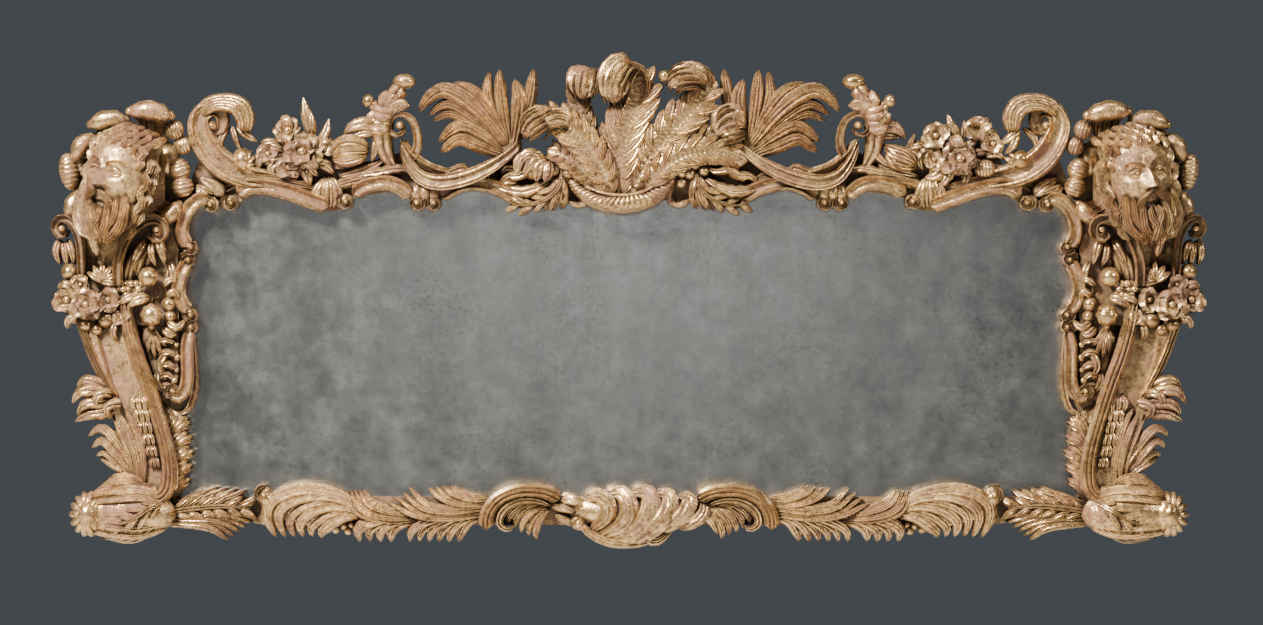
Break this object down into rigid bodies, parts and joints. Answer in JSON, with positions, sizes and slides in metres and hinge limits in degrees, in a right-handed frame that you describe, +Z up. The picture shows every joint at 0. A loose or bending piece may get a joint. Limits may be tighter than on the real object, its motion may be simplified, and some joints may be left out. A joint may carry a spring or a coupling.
{
  "type": "wall mirror",
  "caption": "Wide carved giltwood wall mirror: rococo scrolls, plumes, palm fans and flowers on top, bearded masks on the side terms, and one old mirror plate.",
  "frame": {"origin": "hanging place on the flat back of the top rail, in the middle, 250 mm above the middle of the plate", "axes": "+Z up, +X to the right of someone who faces the mirror, +Y into the wall, so the front faces -Y"},
  "size_m": [1.6082, 0.1326, 0.6824],
  "materials": {
    "gilding": "gold leaf on carved wood, worn to the red-brown bole",
    "mirror_plate": "old silvering, greyed and foxed",
    "pine": "plain dark pine"
  },
  "bodies": {
    "root": {"top_rail": "gilding", "left_stile": "gilding", "right_stile": "gilding", "bottom_rail": "gilding", "mirror_plate": "mirror_plate", "backboard": "pine"}
  },
  "joints": []
}
